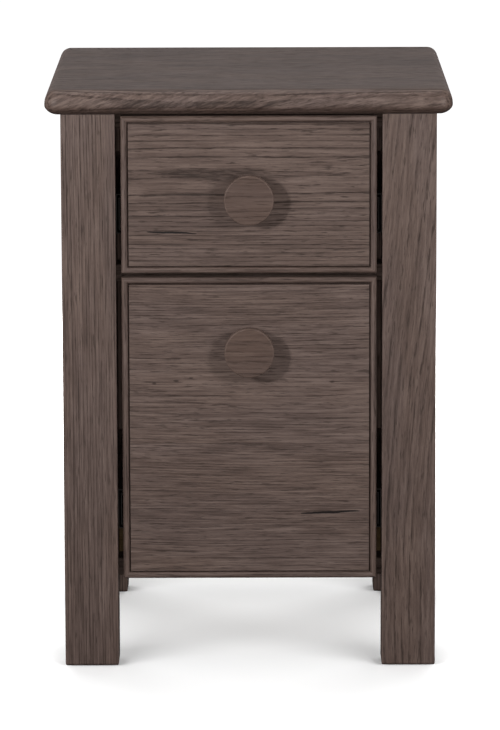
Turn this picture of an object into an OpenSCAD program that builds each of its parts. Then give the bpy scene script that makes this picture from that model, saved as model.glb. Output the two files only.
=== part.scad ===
// Two-drawer nightstand: four straight legs, a thick top with a full bullnose, and two inset
// drawers whose fronts are framed by a mitred round bead. Each drawer is a dovetailed box on a
// pair of telescopic slides. X runs across, the front faces -Y, and Z = 0 is the floor.

/* [Overall] */
// Width of the top, side to side
top_w = 457; // [400:1:560]
// Depth of the top, front to back
top_d = 457; // [400:1:520]
// Height of the top surface above the floor
overall_h = 664; // [590:1:740]

/* [Top] */
// Thickness of the top, and the height of its full bullnose
top_t = 28.5; // [22:0.5:34]
// Reach of the top past the legs at each side
side_overhang = 17.5; // [10:0.5:25]
// Reach of the top past the front legs
front_overhang = 17.5; // [10:0.5:25]
// Reach of the top past the rear legs
rear_overhang = 17.5; // [10:0.5:20]

/* [Legs] */
// Width of a leg across the front
leg_w = 61; // [52:1:66]
// Depth of a leg, front to back
leg_d = 45; // [42:1:52]
// Rounding of the long edges of a leg
leg_edge_r = 1.6; // [0.6:0.2:3]
// Rounding of the edges under a foot
foot_r = 3; // [1:0.5:5]
// Radius of the glide under a foot
glide_r = 11; // [8:0.5:14]
// Thickness of a glide
glide_t = 3; // [2:0.5:5]
// How far a glide stands out of the foot
glide_out = 1; // [0.5:0.5:1.5]

/* [Case] */
// Thickness of a side panel
side_t = 19; // [15:1:22]
// Set-back of a side panel from the outer faces of the legs
side_recess = 6; // [2:1:10]
// Length of the tongue along each end of a side panel
tongue = 8; // [4:1:12]
// Thickness of the flat rails between the legs
rail_t = 19; // [15:1:22]
// Depth of the flat rails, front to back
rail_d = 38; // [34:1:44]
// Length of a rail's tenon in the leg
tenon = 20; // [10:1:28]
// Thickness of the back panel
back_t = 6; // [4:1:9]
// Width of the rebate that takes the back panel
back_lap = 10; // [6:1:16]
// Thickness of the bottom panel
bottom_t = 6; // [4:1:9]
// Depth of the grooves round the bottom panel
groove = 6; // [3:1:8]

/* [Drawer fronts] */
// Height of the upper drawer front
upper_front_h = 178.5; // [150:0.5:200]
// Height of the lower drawer front
lower_front_h = 347; // [280:1:380]
// Gap between the top and the upper drawer front
top_gap = 3; // [2:0.5:5]
// Gap between the two drawer fronts
drawer_gap = 4.5; // [2:0.5:6]
// Gap between a drawer front and each leg
side_gap = 6; // [2:0.5:8]
// Thickness of a drawer front behind its field
front_t = 19; // [16:1:22]
// Set-back of the bead's crown from the faces of the legs
front_recess = 1.5; // [0.5:0.5:4]
// Width of the round bead
bead_w = 7.2; // [4:0.2:8]
// Width of the quirk between the bead and the field
quirk = 1.2; // [1:0.2:3]
// Width of the quirk at its floor
quirk_foot = 0.4; // [0.2:0.2:0.8]
// Depth of the quirk below the field
quirk_depth = 5.5; // [3:0.5:7]
// How far the bead stands out past the field
bead_proud = 1; // [0:0.5:2]
// Depth of the rebate that a bead strip is glued into
bead_rebate = 10; // [8:0.5:12]
// Rounding of the field's edge
field_edge_r = 0.6; // [0.4:0.2:1.6]

/* [Knobs] */
// Radius of a knob's disc
knob_r = 28; // [20:1:32]
// Thickness of a knob's disc
knob_disc_t = 12; // [9:1:15]
// How far a knob stands out from the field
knob_out = 28; // [24:1:34]
// Radius of a knob's neck
knob_neck_r = 11; // [8:1:14]
// Rounding of the rim of a knob
knob_rim_r = 1.5; // [1:0.5:4]
// Drop of the upper knob's centre from the top of its front
upper_knob_drop = 92; // [70:1:110]
// Drop of the lower knob's centre from the top of its front
lower_knob_drop = 82; // [60:0.5:120]
// Radius of the screw that holds a knob
knob_screw_r = 2; // [1.5:0.25:3]

/* [Drawer boxes] */
// Thickness of the box boards
box_t = 12; // [10:1:15]
// Room over a box, below the rail above it
box_head_room = 16.5; // [6:0.5:40]
// Room behind a box, in front of the back panel
box_rear_room = 44.5; // [20:0.5:90]
// Clearance under a box, over the rail or panel below it
box_clear = 8; // [4:1:12]
// Thickness of a box bottom
box_bottom_t = 6; // [4:1:8]
// Height of a box bottom above the lower edge
box_bottom_up = 12; // [8:1:16]
// Depth of the groove that holds a box bottom
box_groove = 6; // [3:1:7]
// Widest dovetail pitch
dovetail_pitch = 34; // [24:1:44]

/* [Slides] */
// Thickness of a closed slide, leg face to box side
slide_t = 12.7; // [12.2:0.1:14]
// Height of a slide
slide_h = 45; // [42:1:50]
// Thickness of the slide's steel
slide_steel = 1.1; // [0.9:0.1:1.3]
// How much shorter a closed slide is than its box
slide_short = 0; // [0:5:60]
// Travel of a drawer
slide_travel = 340; // [250:5:345]
// Height of a slide's centre above the lower edge of its box
slide_up = 50; // [35:1:60]
// Ball diameter
ball_d = 2.4; // [2:0.1:2.6]
// Thickness of the wooden rail that a slide is screwed to
runner_t = 20; // [16:1:24]
// Height of the wooden rail that a slide is screwed to
runner_h = 50; // [44:1:56]

/* [Hidden] */
$fn = 48;

oak = "#5d5450";
oak_dark = "#4f4744";
box_wood = "#b39a78";
plywood = "#a68b66";
steel = "#a7a9ab";
zinc = "#8f9396";
nylon = "#2c2b2a";

// Case, measured from the front faces of the legs (Y = 0) and the floor (Z = 0)
case_w = top_w - 2 * side_overhang;
case_d = top_d - front_overhang - rear_overhang;
under_top = overall_h - top_t;
leg_in = case_w / 2 - leg_w;
rear_leg_y = case_d - leg_d;
side_out = case_w / 2 - side_recess;
side_in = side_out - side_t;
tongue_t = side_t / 2;

// Drawer fronts, stacked down from the underside of the top
upper_top = under_top - top_gap;
upper_bot = upper_top - upper_front_h;
lower_top = upper_bot - drawer_gap;
lower_bot = lower_top - lower_front_h;
front_w = 2 * (leg_in - side_gap);
field_y = front_recess + bead_proud;
front_back = field_y + front_t;
strip_w = bead_w + quirk;
rebate_y = field_y + bead_rebate;

// Flat rails behind the fronts, with play so that the fronts close before they meet the rails
rail_play = 1;
rail_y = front_back + rail_play;
rear_rail_y = case_d - back_t - rail_d;
divider_z = (upper_bot + lower_top - rail_t) / 2;
top_rail_z = under_top - rail_t;
tenon_t = rail_t / 2;
tenon_shoulder = 4;
panel_z = lower_bot + (rail_t - bottom_t) / 2;

// Drawer boxes
box_w = 2 * (leg_in - slide_t);
box_in = box_w / 2 - box_t;
box_y = front_back;
box_end_y = case_d - back_t - box_rear_room;
upper_box_z = divider_z + rail_t + box_clear;
upper_box_h = top_rail_z - box_head_room - upper_box_z;
lower_box_z = lower_bot + rail_t + box_clear;
lower_box_h = divider_z - box_head_room - lower_box_z;
tail_slope = 1 / 7;
tail_share = 0.36;

// A drawer: top and bottom of its front, bottom and height of its box, height of its knob
upper = [upper_top, upper_bot, upper_box_z, upper_box_h, upper_top - upper_knob_drop];
lower = [lower_top, lower_bot, lower_box_z, lower_box_h, lower_top - lower_knob_drop];
function front_top(d) = d[0];
function front_bot(d) = d[1];
function box_z(d) = d[2];
function box_h(d) = d[3];
function knob_z(d) = d[4];
function slide_z(d) = box_z(d) + slide_up;

// Slides: three steel channels, one inside the next, with a row of balls above and below
ball_gap = ball_d + 0.7;
outer_in = slide_h / 2 - slide_steel;
middle_out = outer_in - ball_gap;
middle_in = middle_out - slide_steel;
inner_out = middle_in - ball_gap;
web_gap = 1.9;
middle_web = slide_steel + web_gap;
flange_w = 8;
flange_end = slide_t - slide_steel - 0.6;
inner_tip = slide_t - flange_w + slide_steel;
slide_y = rail_y;
slide_l = box_end_y - box_y - slide_short;
slide_screw_ys = [0.12, 0.5, 0.88] * slide_l;
runner_tenon = 10;
balls = 9;
ball_pitch = 9;
cage_t = 0.6;
cage_rim = 0.8;
cage_l = (balls - 1) * ball_pitch + 2 * ball_d;
cage_y = slide_y + slide_travel / 4 + ball_pitch;

// Screws
screw_r = 1.8;
screw_head_r = 3.6;
screw_head_h = 1.5;
screw_play = 0.1;
slide_screw_l = 11;
top_screw_l = 34;
front_screw_l = 25;
back_screw_l = 16;
knob_bore = 14;
knob_screw_l = box_t + front_t + knob_bore - 1;
glide_nail_r = 1.2;
glide_nail_l = 15;
front_screw_inset = 30;
top_screw_x = leg_in * 0.66;
top_screw_ys = [rail_y + rail_d / 2, rear_rail_y + rail_d / 2];
back_screws_a_side = 5;
back_screw_inset = 20;
back_screw_step = (under_top - lower_bot - 2 * back_screw_inset) / (back_screws_a_side - 1);

// The origin lies under the middle of everything, from the knob faces to the rear of the top
y_front = min(field_y - knob_out, -front_overhang);
y_mid = (y_front + case_d + rear_overhang) / 2;

// Box from one corner to the opposite one
module block(low, high) translate(low) cube(high - low);

// What follows is drawn for the right-hand side, and side = -1 gives the left-hand one
module on_side(side) {
  if (side > 0) children();
  else mirror([1, 0, 0]) children();
}

module both_sides() {
  on_side(1) children();
  on_side(-1) children();
}

module place() translate([0, -y_mid, 0]) children();

// Rectangle with its low corner at the origin and four round corners
module round_rect(w, h, r) {
  translate([r, 0]) square([w - 2 * r, h]);
  translate([0, r]) square([w, h - 2 * r]);
  for (x = [r, w - r], y = [r, h - r]) translate([x, y]) circle(r);
}

// Outline in the plane across the front (X, Z), extruded towards the back
module across_front(depth) {
  translate([0, depth, 0]) rotate([90, 0, 0]) linear_extrude(depth) children();
}

// Outline in the plane seen from the right-hand side (Y, Z), extruded along +X
module along_x(length) rotate([90, 0, 90]) linear_extrude(length) children();

// Screw along +Z with its head below the origin and a blunt point
module screw(r, length, head_r = screw_head_r, head_h = screw_head_h) {
  tip = 2 * r;
  translate([0, 0, -head_h]) cylinder(h = head_h, r1 = head_r * 0.8, r2 = head_r);
  cylinder(h = length - tip, r = r);
  translate([0, 0, length - tip]) cylinder(h = tip, r1 = r, r2 = r * 0.3);
}

// Hole for the shank of that screw
module screw_hole(r, length) {
  translate([0, 0, -1]) cylinder(h = length + 1 + 2 * screw_play, r = r + screw_play);
}

// Top: a board with a full bullnose that runs round all four edges and round the corners
module bullnose_outline(length) {
  r = top_t / 2;
  translate([r, 0]) square([length - 2 * r, top_t]);
  for (x = [r, length - r]) translate([x, r]) circle(r);
}

module top_blank() {
  r = top_t / 2;
  translate([0, r, 0]) across_front(top_d - 2 * r) bullnose_outline(top_w);
  translate([r, 0, 0]) along_x(top_w - 2 * r) bullnose_outline(top_d);
  for (x = [r, top_w - r], y = [r, top_d - r]) translate([x, y, r]) sphere(r);
}

module at_top_screws() {
  for (x = [-top_screw_x, top_screw_x], y = top_screw_ys)
    translate([x, y, top_rail_z]) children();
}

module top_panel() {
  color(oak) place() difference() {
    translate([-top_w / 2, -front_overhang, under_top]) top_blank();
    at_top_screws() screw_hole(screw_r, top_screw_l);
  }
}

// Leg: eased long edges and a rounded foot, with the low corner at the origin
module leg_blank() {
  h = under_top - glide_out;
  translate([0, 0, glide_out]) intersection() {
    linear_extrude(h) round_rect(leg_w, leg_d, leg_edge_r);
    across_front(leg_d) foot_outline(leg_w, h);
    along_x(leg_w) foot_outline(leg_d, h);
  }
}

module foot_outline(w, h) {
  translate([0, foot_r]) square([w, h - foot_r]);
  translate([foot_r, 0]) square([w - 2 * foot_r, h]);
  for (x = [foot_r, w - foot_r]) translate([x, foot_r]) circle(foot_r);
}

module glide() {
  cylinder(h = glide_t, r = glide_r);
  translate([0, 0, glide_t]) cylinder(h = glide_nail_l, r = glide_nail_r);
}

// Tenons are drawn once, and cut from the legs with the same shape that the rails carry
module front_rail_tenon(z) {
  y_end = min(rail_y + rail_d, leg_d) - tenon_shoulder;
  block([leg_in, rail_y + tenon_shoulder, z + (rail_t - tenon_t) / 2],
        [leg_in + tenon, y_end, z + (rail_t + tenon_t) / 2]);
}

module rear_rail_tenon(z) {
  y_start = max(rear_rail_y, rear_leg_y) + tenon_shoulder;
  block([leg_in, y_start, z + (rail_t - tenon_t) / 2],
        [leg_in + tenon, rear_rail_y + rail_d - tenon_shoulder, z + (rail_t + tenon_t) / 2]);
}

module runner_bar(z) {
  x_in = runner_t / 4;
  half_h = runner_h / 3;
  block([leg_in + x_in, leg_d - runner_tenon, z - half_h],
        [leg_in + runner_t - x_in, rear_leg_y + runner_tenon, z + half_h]);
}

module side_tongue() {
  x = (side_in + side_out - tongue_t) / 2;
  block([x, leg_d - tongue, lower_bot], [x + tongue_t, rear_leg_y + tongue, under_top]);
}

module leg_joints() {
  side_tongue();
  for (d = [upper, lower]) runner_bar(slide_z(d));
}

module front_leg(side) {
  color(oak) place() on_side(side) difference() {
    translate([leg_in, 0, 0]) leg_blank();
    leg_joints();
    for (z = [top_rail_z, divider_z, lower_bot]) front_rail_tenon(z);
    translate([leg_in + leg_w / 2, leg_d / 2, 0]) glide();
  }
}

module rear_leg(side) {
  color(oak) place() on_side(side) difference() {
    translate([leg_in, rear_leg_y, 0]) leg_blank();
    leg_joints();
    for (z = [top_rail_z, lower_bot]) rear_rail_tenon(z);
    block([leg_in - 1, case_d - back_t, lower_bot], [leg_in + back_lap, case_d + 1, under_top + 1]);
    at_back_screws() screw_hole(screw_r, back_screw_l);
    translate([leg_in + leg_w / 2, case_d - leg_d / 2, 0]) glide();
  }
}

module foot_glides() {
  color(nylon) place() both_sides()
    for (y = [leg_d / 2, case_d - leg_d / 2])
      translate([leg_in + leg_w / 2, y, 0]) glide();
}

// Side panel with a tongue along each end, grooved for the bottom panel
module side_panel(side) {
  color(oak) place() on_side(side) difference() {
    union() {
      block([side_in, leg_d, lower_bot], [side_out, rear_leg_y, under_top]);
      side_tongue();
    }
    block([side_in - 1, leg_d - tongue - 1, panel_z],
          [side_in + groove, rear_leg_y + tongue + 1, panel_z + bottom_t]);
  }
}

module at_back_screws() {
  for (i = [0 : back_screws_a_side - 1])
    translate([leg_in + back_lap / 2, case_d, lower_bot + back_screw_inset + i * back_screw_step])
      rotate([90, 0, 0]) children();
}

module back_panel() {
  color(plywood) place() difference() {
    block([-leg_in - back_lap, case_d - back_t, lower_bot], [leg_in + back_lap, case_d, under_top]);
    both_sides() at_back_screws() screw_hole(screw_r, back_screw_l);
  }
}

module back_screws() {
  color(zinc) place() both_sides() at_back_screws() screw(screw_r, back_screw_l);
}

// Bottom panel, let into the rails and side panels and cut to fit between the legs
module bottom_panel() {
  color(plywood) place() union() {
    block([-leg_in, rail_y + rail_d - groove, panel_z],
          [leg_in, rear_rail_y + groove, panel_z + bottom_t]);
    both_sides() block([leg_in, leg_d, panel_z],
                       [side_in + groove, rear_leg_y, panel_z + bottom_t]);
  }
}

module front_rail(z) {
  block([-leg_in, rail_y, z], [leg_in, rail_y + rail_d, z + rail_t]);
  both_sides() front_rail_tenon(z);
}

module rear_rail(z) {
  block([-leg_in, rear_rail_y, z], [leg_in, rear_rail_y + rail_d, z + rail_t]);
  both_sides() rear_rail_tenon(z);
}

module front_top_rail() {
  color(oak_dark) place() difference() {
    front_rail(top_rail_z);
    at_top_screws() screw_hole(screw_r, top_screw_l);
  }
}

module divider_rail() color(oak_dark) place() front_rail(divider_z);

module front_bottom_rail() {
  color(oak_dark) place() difference() {
    front_rail(lower_bot);
    block([-leg_in - 1, rail_y + rail_d - groove, panel_z],
          [leg_in + 1, rail_y + rail_d + 1, panel_z + bottom_t]);
  }
}

module rear_top_rail() {
  color(oak_dark) place() difference() {
    rear_rail(top_rail_z);
    at_top_screws() screw_hole(screw_r, top_screw_l);
  }
}

module rear_bottom_rail() {
  color(oak_dark) place() difference() {
    rear_rail(lower_bot);
    block([-leg_in - 1, rear_rail_y - 1, panel_z],
          [leg_in + 1, rear_rail_y + groove, panel_z + bottom_t]);
  }
}

module top_screws() color(zinc) place() at_top_screws() screw(screw_r, top_screw_l);

// Wooden rail between front and rear leg that carries one slide
module runner(side, d) {
  z = slide_z(d);
  color(oak_dark) place() on_side(side) difference() {
    union() {
      block([leg_in, leg_d, z - runner_h / 2], [leg_in + runner_t, rear_leg_y, z + runner_h / 2]);
      runner_bar(z);
    }
    at_cabinet_screws(z) screw_hole(screw_r, slide_screw_l);
  }
}

// Steel channel of a slide, as its outline seen from the front: u runs from the leg to the drawer
module channel(web_u, tip_u, half_h) {
  low = min(web_u, tip_u);
  high = max(web_u, tip_u);
  inner = web_u < tip_u ? web_u + slide_steel : web_u - slide_steel;
  translate([leg_in, slide_y, 0]) mirror([1, 0, 0]) across_front(slide_l) difference() {
    translate([low, -half_h]) square([high - low, 2 * half_h]);
    translate([min(inner, tip_u) - (inner > tip_u ? 1 : 0), -half_h + slide_steel])
      square([abs(tip_u - inner) + 1, 2 * (half_h - slide_steel)]);
  }
}

module at_cabinet_screws(z) {
  for (y = slide_screw_ys)
    translate([leg_in - slide_steel, slide_y + y, z]) rotate([0, 90, 0]) children();
}

module at_drawer_screws(z) {
  for (y = slide_screw_ys)
    translate([leg_in - slide_t + slide_steel, slide_y + y, z]) rotate([0, -90, 0]) children();
}

module outer_slides(d) {
  color(steel) place() both_sides() difference() {
    translate([0, 0, slide_z(d)]) channel(0, flange_w, slide_h / 2);
    at_cabinet_screws(slide_z(d)) screw_hole(screw_r, slide_screw_l);
  }
}

module middle_slides(d) {
  color(steel) place() both_sides()
    translate([0, 0, slide_z(d)]) channel(middle_web, flange_end, middle_out);
}

module inner_slide(side, d) {
  color(steel) place() on_side(side) difference() {
    translate([0, 0, slide_z(d)]) channel(slide_t, inner_tip, inner_out);
    at_drawer_screws(slide_z(d)) screw_hole(screw_r, slide_screw_l);
  }
}

// Ball cages: thin strips, each with a row of balls, above and below the member they run on
module ball_cages(d, v, u) {
  color(zinc) place() both_sides()
    for (s = [-1, 1]) translate([leg_in - u, cage_y, slide_z(d) + s * v]) {
      translate([-ball_d / 2 - cage_rim, -ball_d, -cage_t / 2])
        cube([ball_d + 2 * cage_rim, cage_l, cage_t]);
      for (i = [0 : balls - 1]) translate([0, i * ball_pitch, 0]) sphere(d = ball_d);
    }
}

module outer_ball_cages(d) {
  ball_cages(d, (outer_in + middle_out) / 2, (middle_web + flange_w) / 2);
}

module inner_ball_cages(d) {
  ball_cages(d, (middle_in + inner_out) / 2, (inner_tip + flange_end) / 2);
}

module cabinet_slide_screws() {
  color(zinc) place() both_sides()
    for (d = [upper, lower]) at_cabinet_screws(slide_z(d)) screw(screw_r, slide_screw_l);
}

module slide_screws(d) {
  color(zinc) place() both_sides() at_drawer_screws(slide_z(d)) screw(screw_r, slide_screw_l);
}

// Drawer front: a board whose field is left standing inside the rebate for the bead
module drawer_front(d) {
  w = front_w;
  h = front_top(d) - front_bot(d);
  color(oak) place() difference() {
    union() {
      block([-w / 2, rebate_y, front_bot(d)], [w / 2, front_back, front_top(d)]);
      intersection() {
        translate([0, 0, front_bot(d) + strip_w]) linear_extrude(h - 2 * strip_w)
          field_outline(w / 2 - strip_w);
        translate([-w / 2, 0, front_bot(d) + h / 2]) along_x(w)
          rotate(90) mirror([0, 1]) field_outline(h / 2 - strip_w);
      }
    }
    at_knob(d) screw_hole(knob_screw_r, knob_screw_l);
    at_front_screws(d) screw_hole(screw_r, front_screw_l);
  }
}

// Half widths along X and depth along Y, with the two front corners eased
module field_outline(half_w) {
  translate([-half_w + field_edge_r, field_y])
    square([2 * (half_w - field_edge_r), rebate_y - field_y + 1]);
  translate([-half_w, field_y + field_edge_r])
    square([2 * half_w, rebate_y - field_y - field_edge_r + 1]);
  for (x = [-1, 1]) translate([x * (half_w - field_edge_r), field_y + field_edge_r])
    circle(field_edge_r);
}

// Bead strip along X: outer edge at Z = 0, crown at Y = 0, both ends cut to a mitre
module bead_strip(length) {
  r = bead_w / 2;
  depth = rebate_y - front_recess;
  quirk_floor = bead_proud + quirk_depth;
  intersection() {
    translate([-length / 2, 0, 0]) along_x(length) union() {
      translate([quirk_floor, -strip_w]) square([depth - quirk_floor, strip_w]);
      polygon([[r, 0], [r, -bead_w], [quirk_floor, quirk_foot - strip_w], [quirk_floor, 0]]);
      translate([r, -r]) circle(r);
    }
    translate([0, -1, 0]) across_front(depth + 2)
      polygon([[-length / 2, 0], [length / 2, 0],
               [length / 2 - strip_w, -strip_w], [-length / 2 + strip_w, -strip_w]]);
  }
}

module bead_rails(d) {
  color(oak) place() {
    translate([0, front_recess, front_top(d)]) bead_strip(front_w);
    translate([0, front_recess, front_bot(d)]) rotate([0, 180, 0]) bead_strip(front_w);
  }
}

module bead_stiles(d) {
  color(oak) place() both_sides()
    translate([front_w / 2, front_recess, (front_top(d) + front_bot(d)) / 2])
      rotate([0, 90, 0]) bead_strip(front_top(d) - front_bot(d));
}

// Knob: a flat-faced disc on a coved neck, turned about the Y axis
module knob(d) {
  neck_l = knob_out - knob_disc_t;
  cove_r = min(neck_l, knob_r - knob_neck_r) * 0.7;
  color(oak) place() translate([0, field_y, knob_z(d)]) rotate([90, 0, 0]) difference() {
    rotate_extrude($fn = 96) union() {
      square([knob_neck_r, neck_l + 1]);
      difference() {
        translate([0, neck_l - cove_r]) square([knob_neck_r + cove_r, cove_r + 1]);
        translate([knob_neck_r + cove_r, neck_l - cove_r]) circle(cove_r);
      }
      translate([0, neck_l]) square([knob_r - knob_rim_r, knob_disc_t]);
      translate([0, neck_l + knob_rim_r]) square([knob_r, knob_disc_t - 2 * knob_rim_r]);
      for (y = [knob_rim_r, knob_disc_t - knob_rim_r])
        translate([knob_r - knob_rim_r, neck_l + y]) circle(knob_rim_r);
    }
    translate([0, 0, -1]) cylinder(h = knob_bore + 1, r = knob_screw_r + screw_play);
  }
}

// The knob's screw starts inside the box and runs forwards
module at_knob(d) {
  translate([0, box_y + box_t, knob_z(d)]) rotate([90, 0, 0]) children();
}

module knob_screw(d) {
  color(zinc) place() at_knob(d)
    screw(knob_screw_r, knob_screw_l, head_r = 2.2 * knob_screw_r, head_h = 2);
}

// Four screws fix a front to its box, from inside the box
module at_front_screws(d) {
  z_in = front_screw_inset;
  for (x = [-1, 1], z = [box_z(d) + z_in, box_z(d) + box_h(d) - z_in])
    translate([x * (box_in - front_screw_inset), box_y + box_t, z])
      rotate([90, 0, 0]) children();
}

module front_screws(d) color(zinc) place() at_front_screws(d) screw(screw_r, front_screw_l);

// Dovetails in the end of a side board, with the wide ends of the tails at Y = 0
function tail_count(h) = ceil(h / dovetail_pitch);
function tail_pitch(h) = h / tail_count(h);
function tail_wide(h) = tail_pitch(h) * tail_share;
function tail_narrow(h) = tail_wide(h) - box_t * tail_slope;

module tails(h) {
  wide = tail_wide(h);
  narrow = tail_narrow(h);
  for (i = [0 : tail_count(h) - 1]) translate([0, 0, (i + 0.5) * tail_pitch(h)]) along_x(box_t)
    polygon([[0, -wide], [box_t, -narrow], [box_t, narrow], [0, wide]]);
}

// The pins between those tails: the gaps in the side board, with a half pin at each edge
module pins(h) {
  n = tail_count(h);
  p = tail_pitch(h);
  ends = [p / 2 - tail_wide(h), p / 2 - tail_narrow(h)];
  for (i = [0 : n]) {
    low = i == 0 ? [-p, -p] : -ends;
    high = i == n ? [p, p] : ends;
    translate([0, 0, i * p]) along_x(box_t)
      polygon([[0, low[0]], [box_t, low[1]], [box_t, high[1]], [0, high[0]]]);
  }
}

// Places a dovetail cut at the front or the rear end of the right-hand side board
module at_front_corner(z) translate([box_in, box_y, z]) children();

module at_rear_corner(z) translate([box_in, box_end_y, z]) mirror([0, 1, 0]) children();

module box_bottom_panel(d) {
  z = box_z(d) + box_bottom_up;
  x = box_in + box_groove;
  block([-x, box_y + box_t - box_groove, z], [x, box_end_y - box_t + box_groove, z + box_bottom_t]);
}

module box_side(side, d) {
  z = box_z(d);
  color(box_wood) place() on_side(side) difference() {
    block([box_in, box_y, z], [box_w / 2, box_end_y, z + box_h(d)]);
    at_front_corner(z) pins(box_h(d));
    at_rear_corner(z) pins(box_h(d));
    box_bottom_panel(d);
    at_drawer_screws(slide_z(d)) screw_hole(screw_r, slide_screw_l);
  }
}

module box_end_board(y, d) {
  block([-box_w / 2, y, box_z(d)], [box_w / 2, y + box_t, box_z(d) + box_h(d)]);
}

module box_front(d) {
  color(box_wood) place() difference() {
    box_end_board(box_y, d);
    both_sides() at_front_corner(box_z(d)) tails(box_h(d));
    box_bottom_panel(d);
    at_knob(d) screw_hole(knob_screw_r, knob_screw_l);
    at_front_screws(d) screw_hole(screw_r, front_screw_l);
  }
}

module box_back(d) {
  color(box_wood) place() difference() {
    box_end_board(box_end_y - box_t, d);
    both_sides() at_rear_corner(box_z(d)) tails(box_h(d));
    box_bottom_panel(d);
  }
}

module box_bottom(d) color(plywood) place() box_bottom_panel(d);

top_panel();
front_leg(-1);  // front_left_leg
front_leg(1);  // front_right_leg
rear_leg(-1);  // rear_left_leg
rear_leg(1);  // rear_right_leg
side_panel(-1);  // left_side_panel
side_panel(1);  // right_side_panel
back_panel();
bottom_panel();
front_top_rail();
divider_rail();
front_bottom_rail();
rear_top_rail();
rear_bottom_rail();
runner(-1, upper);  // upper_left_runner
runner(1, upper);  // upper_right_runner
runner(-1, lower);  // lower_left_runner
runner(1, lower);  // lower_right_runner
foot_glides();
top_screws();
back_screws();
cabinet_slide_screws();
outer_slides(upper);  // upper_outer_slides
outer_slides(lower);  // lower_outer_slides
outer_ball_cages(upper);  // upper_outer_ball_cages
middle_slides(upper);  // upper_middle_slides
inner_ball_cages(upper);  // upper_inner_ball_cages
outer_ball_cages(lower);  // lower_outer_ball_cages
middle_slides(lower);  // lower_middle_slides
inner_ball_cages(lower);  // lower_inner_ball_cages
drawer_front(upper);  // upper_drawer_front
bead_rails(upper);  // upper_bead_rails
bead_stiles(upper);  // upper_bead_stiles
box_front(upper);  // upper_box_front
box_back(upper);  // upper_box_back
box_side(-1, upper);  // upper_box_left
box_side(1, upper);  // upper_box_right
box_bottom(upper);  // upper_box_bottom
knob(upper);  // upper_knob
knob_screw(upper);  // upper_knob_screw
inner_slide(-1, upper);  // upper_left_inner_slide
inner_slide(1, upper);  // upper_right_inner_slide
slide_screws(upper);  // upper_slide_screws
front_screws(upper);  // upper_front_screws
drawer_front(lower);  // lower_drawer_front
bead_rails(lower);  // lower_bead_rails
bead_stiles(lower);  // lower_bead_stiles
box_front(lower);  // lower_box_front
box_back(lower);  // lower_box_back
box_side(-1, lower);  // lower_box_left
box_side(1, lower);  // lower_box_right
box_bottom(lower);  // lower_box_bottom
knob(lower);  // lower_knob
knob_screw(lower);  // lower_knob_screw
inner_slide(-1, lower);  // lower_left_inner_slide
inner_slide(1, lower);  // lower_right_inner_slide
slide_screws(lower);  // lower_slide_screws
front_screws(lower);  // lower_front_screws
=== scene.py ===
"""Looks of the nightstand: dark stained oak with open grain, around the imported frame.

Every piece but the top panel keeps its CAD solid. Made here are the finishes, the shape of the
top's nose, the floor, the lamps and the camera. Each board is solid oak whose figure runs the
right way through it, so that its faces, edges and end grain agree. Lengths are in metres.
"""

import math

import bpy
from mathutils import Matrix, Vector


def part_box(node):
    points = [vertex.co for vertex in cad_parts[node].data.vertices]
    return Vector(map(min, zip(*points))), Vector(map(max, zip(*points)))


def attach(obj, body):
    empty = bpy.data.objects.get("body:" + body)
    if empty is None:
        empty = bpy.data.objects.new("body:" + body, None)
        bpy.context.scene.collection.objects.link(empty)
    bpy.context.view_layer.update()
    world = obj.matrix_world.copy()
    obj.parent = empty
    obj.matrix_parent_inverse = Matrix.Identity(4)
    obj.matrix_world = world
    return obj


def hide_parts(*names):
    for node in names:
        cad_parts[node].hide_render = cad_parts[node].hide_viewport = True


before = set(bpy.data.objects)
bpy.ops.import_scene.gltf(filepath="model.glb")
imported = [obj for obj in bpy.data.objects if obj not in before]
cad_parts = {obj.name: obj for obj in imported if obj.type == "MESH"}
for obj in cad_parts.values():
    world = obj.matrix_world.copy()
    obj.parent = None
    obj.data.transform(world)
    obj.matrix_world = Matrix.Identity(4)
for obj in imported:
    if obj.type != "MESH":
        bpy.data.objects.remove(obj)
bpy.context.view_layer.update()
scene = bpy.context.scene


# Camera: fitted to the edges of the photograph, which is 500 by 730 pixels
PHOTO_HEIGHT_PX = 730
FOCAL_PX = 4615.64
SENSOR_MM = 36.0
CAMERA_AT = Vector((0.00892, -5.34162, 1.26389))
CAMERA_PITCH = 0.17620
CAMERA_YAW = 0.00159
CAMERA_ROLL = 0.00300
CAMERA_REACH = 50.0


def add_camera():
    data = bpy.data.cameras.new("camera")
    data.sensor_fit = "AUTO"
    data.sensor_width = SENSOR_MM
    data.lens = FOCAL_PX * SENSOR_MM / PHOTO_HEIGHT_PX
    data.clip_end = CAMERA_REACH
    camera = bpy.data.objects.new("camera", data)
    scene.collection.objects.link(camera)
    turn = Matrix.Rotation(CAMERA_YAW, 4, "Z") @ Matrix.Rotation(-CAMERA_PITCH, 4, "X")
    turn = turn @ Matrix.Rotation(CAMERA_ROLL, 4, "Y") @ Matrix.Rotation(math.pi / 2, 4, "X")
    camera.matrix_world = Matrix.Translation(CAMERA_AT) @ turn
    scene.camera = camera


def srgb(r, g, b):
    """The linear colour of an sRGB colour given as 0 to 255."""
    def linear(v):
        v = v / 255
        return v / 12.92 if v <= 0.04045 else ((v + 0.055) / 1.055) ** 2.4
    return (linear(r), linear(g), linear(b), 1.0)


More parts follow.
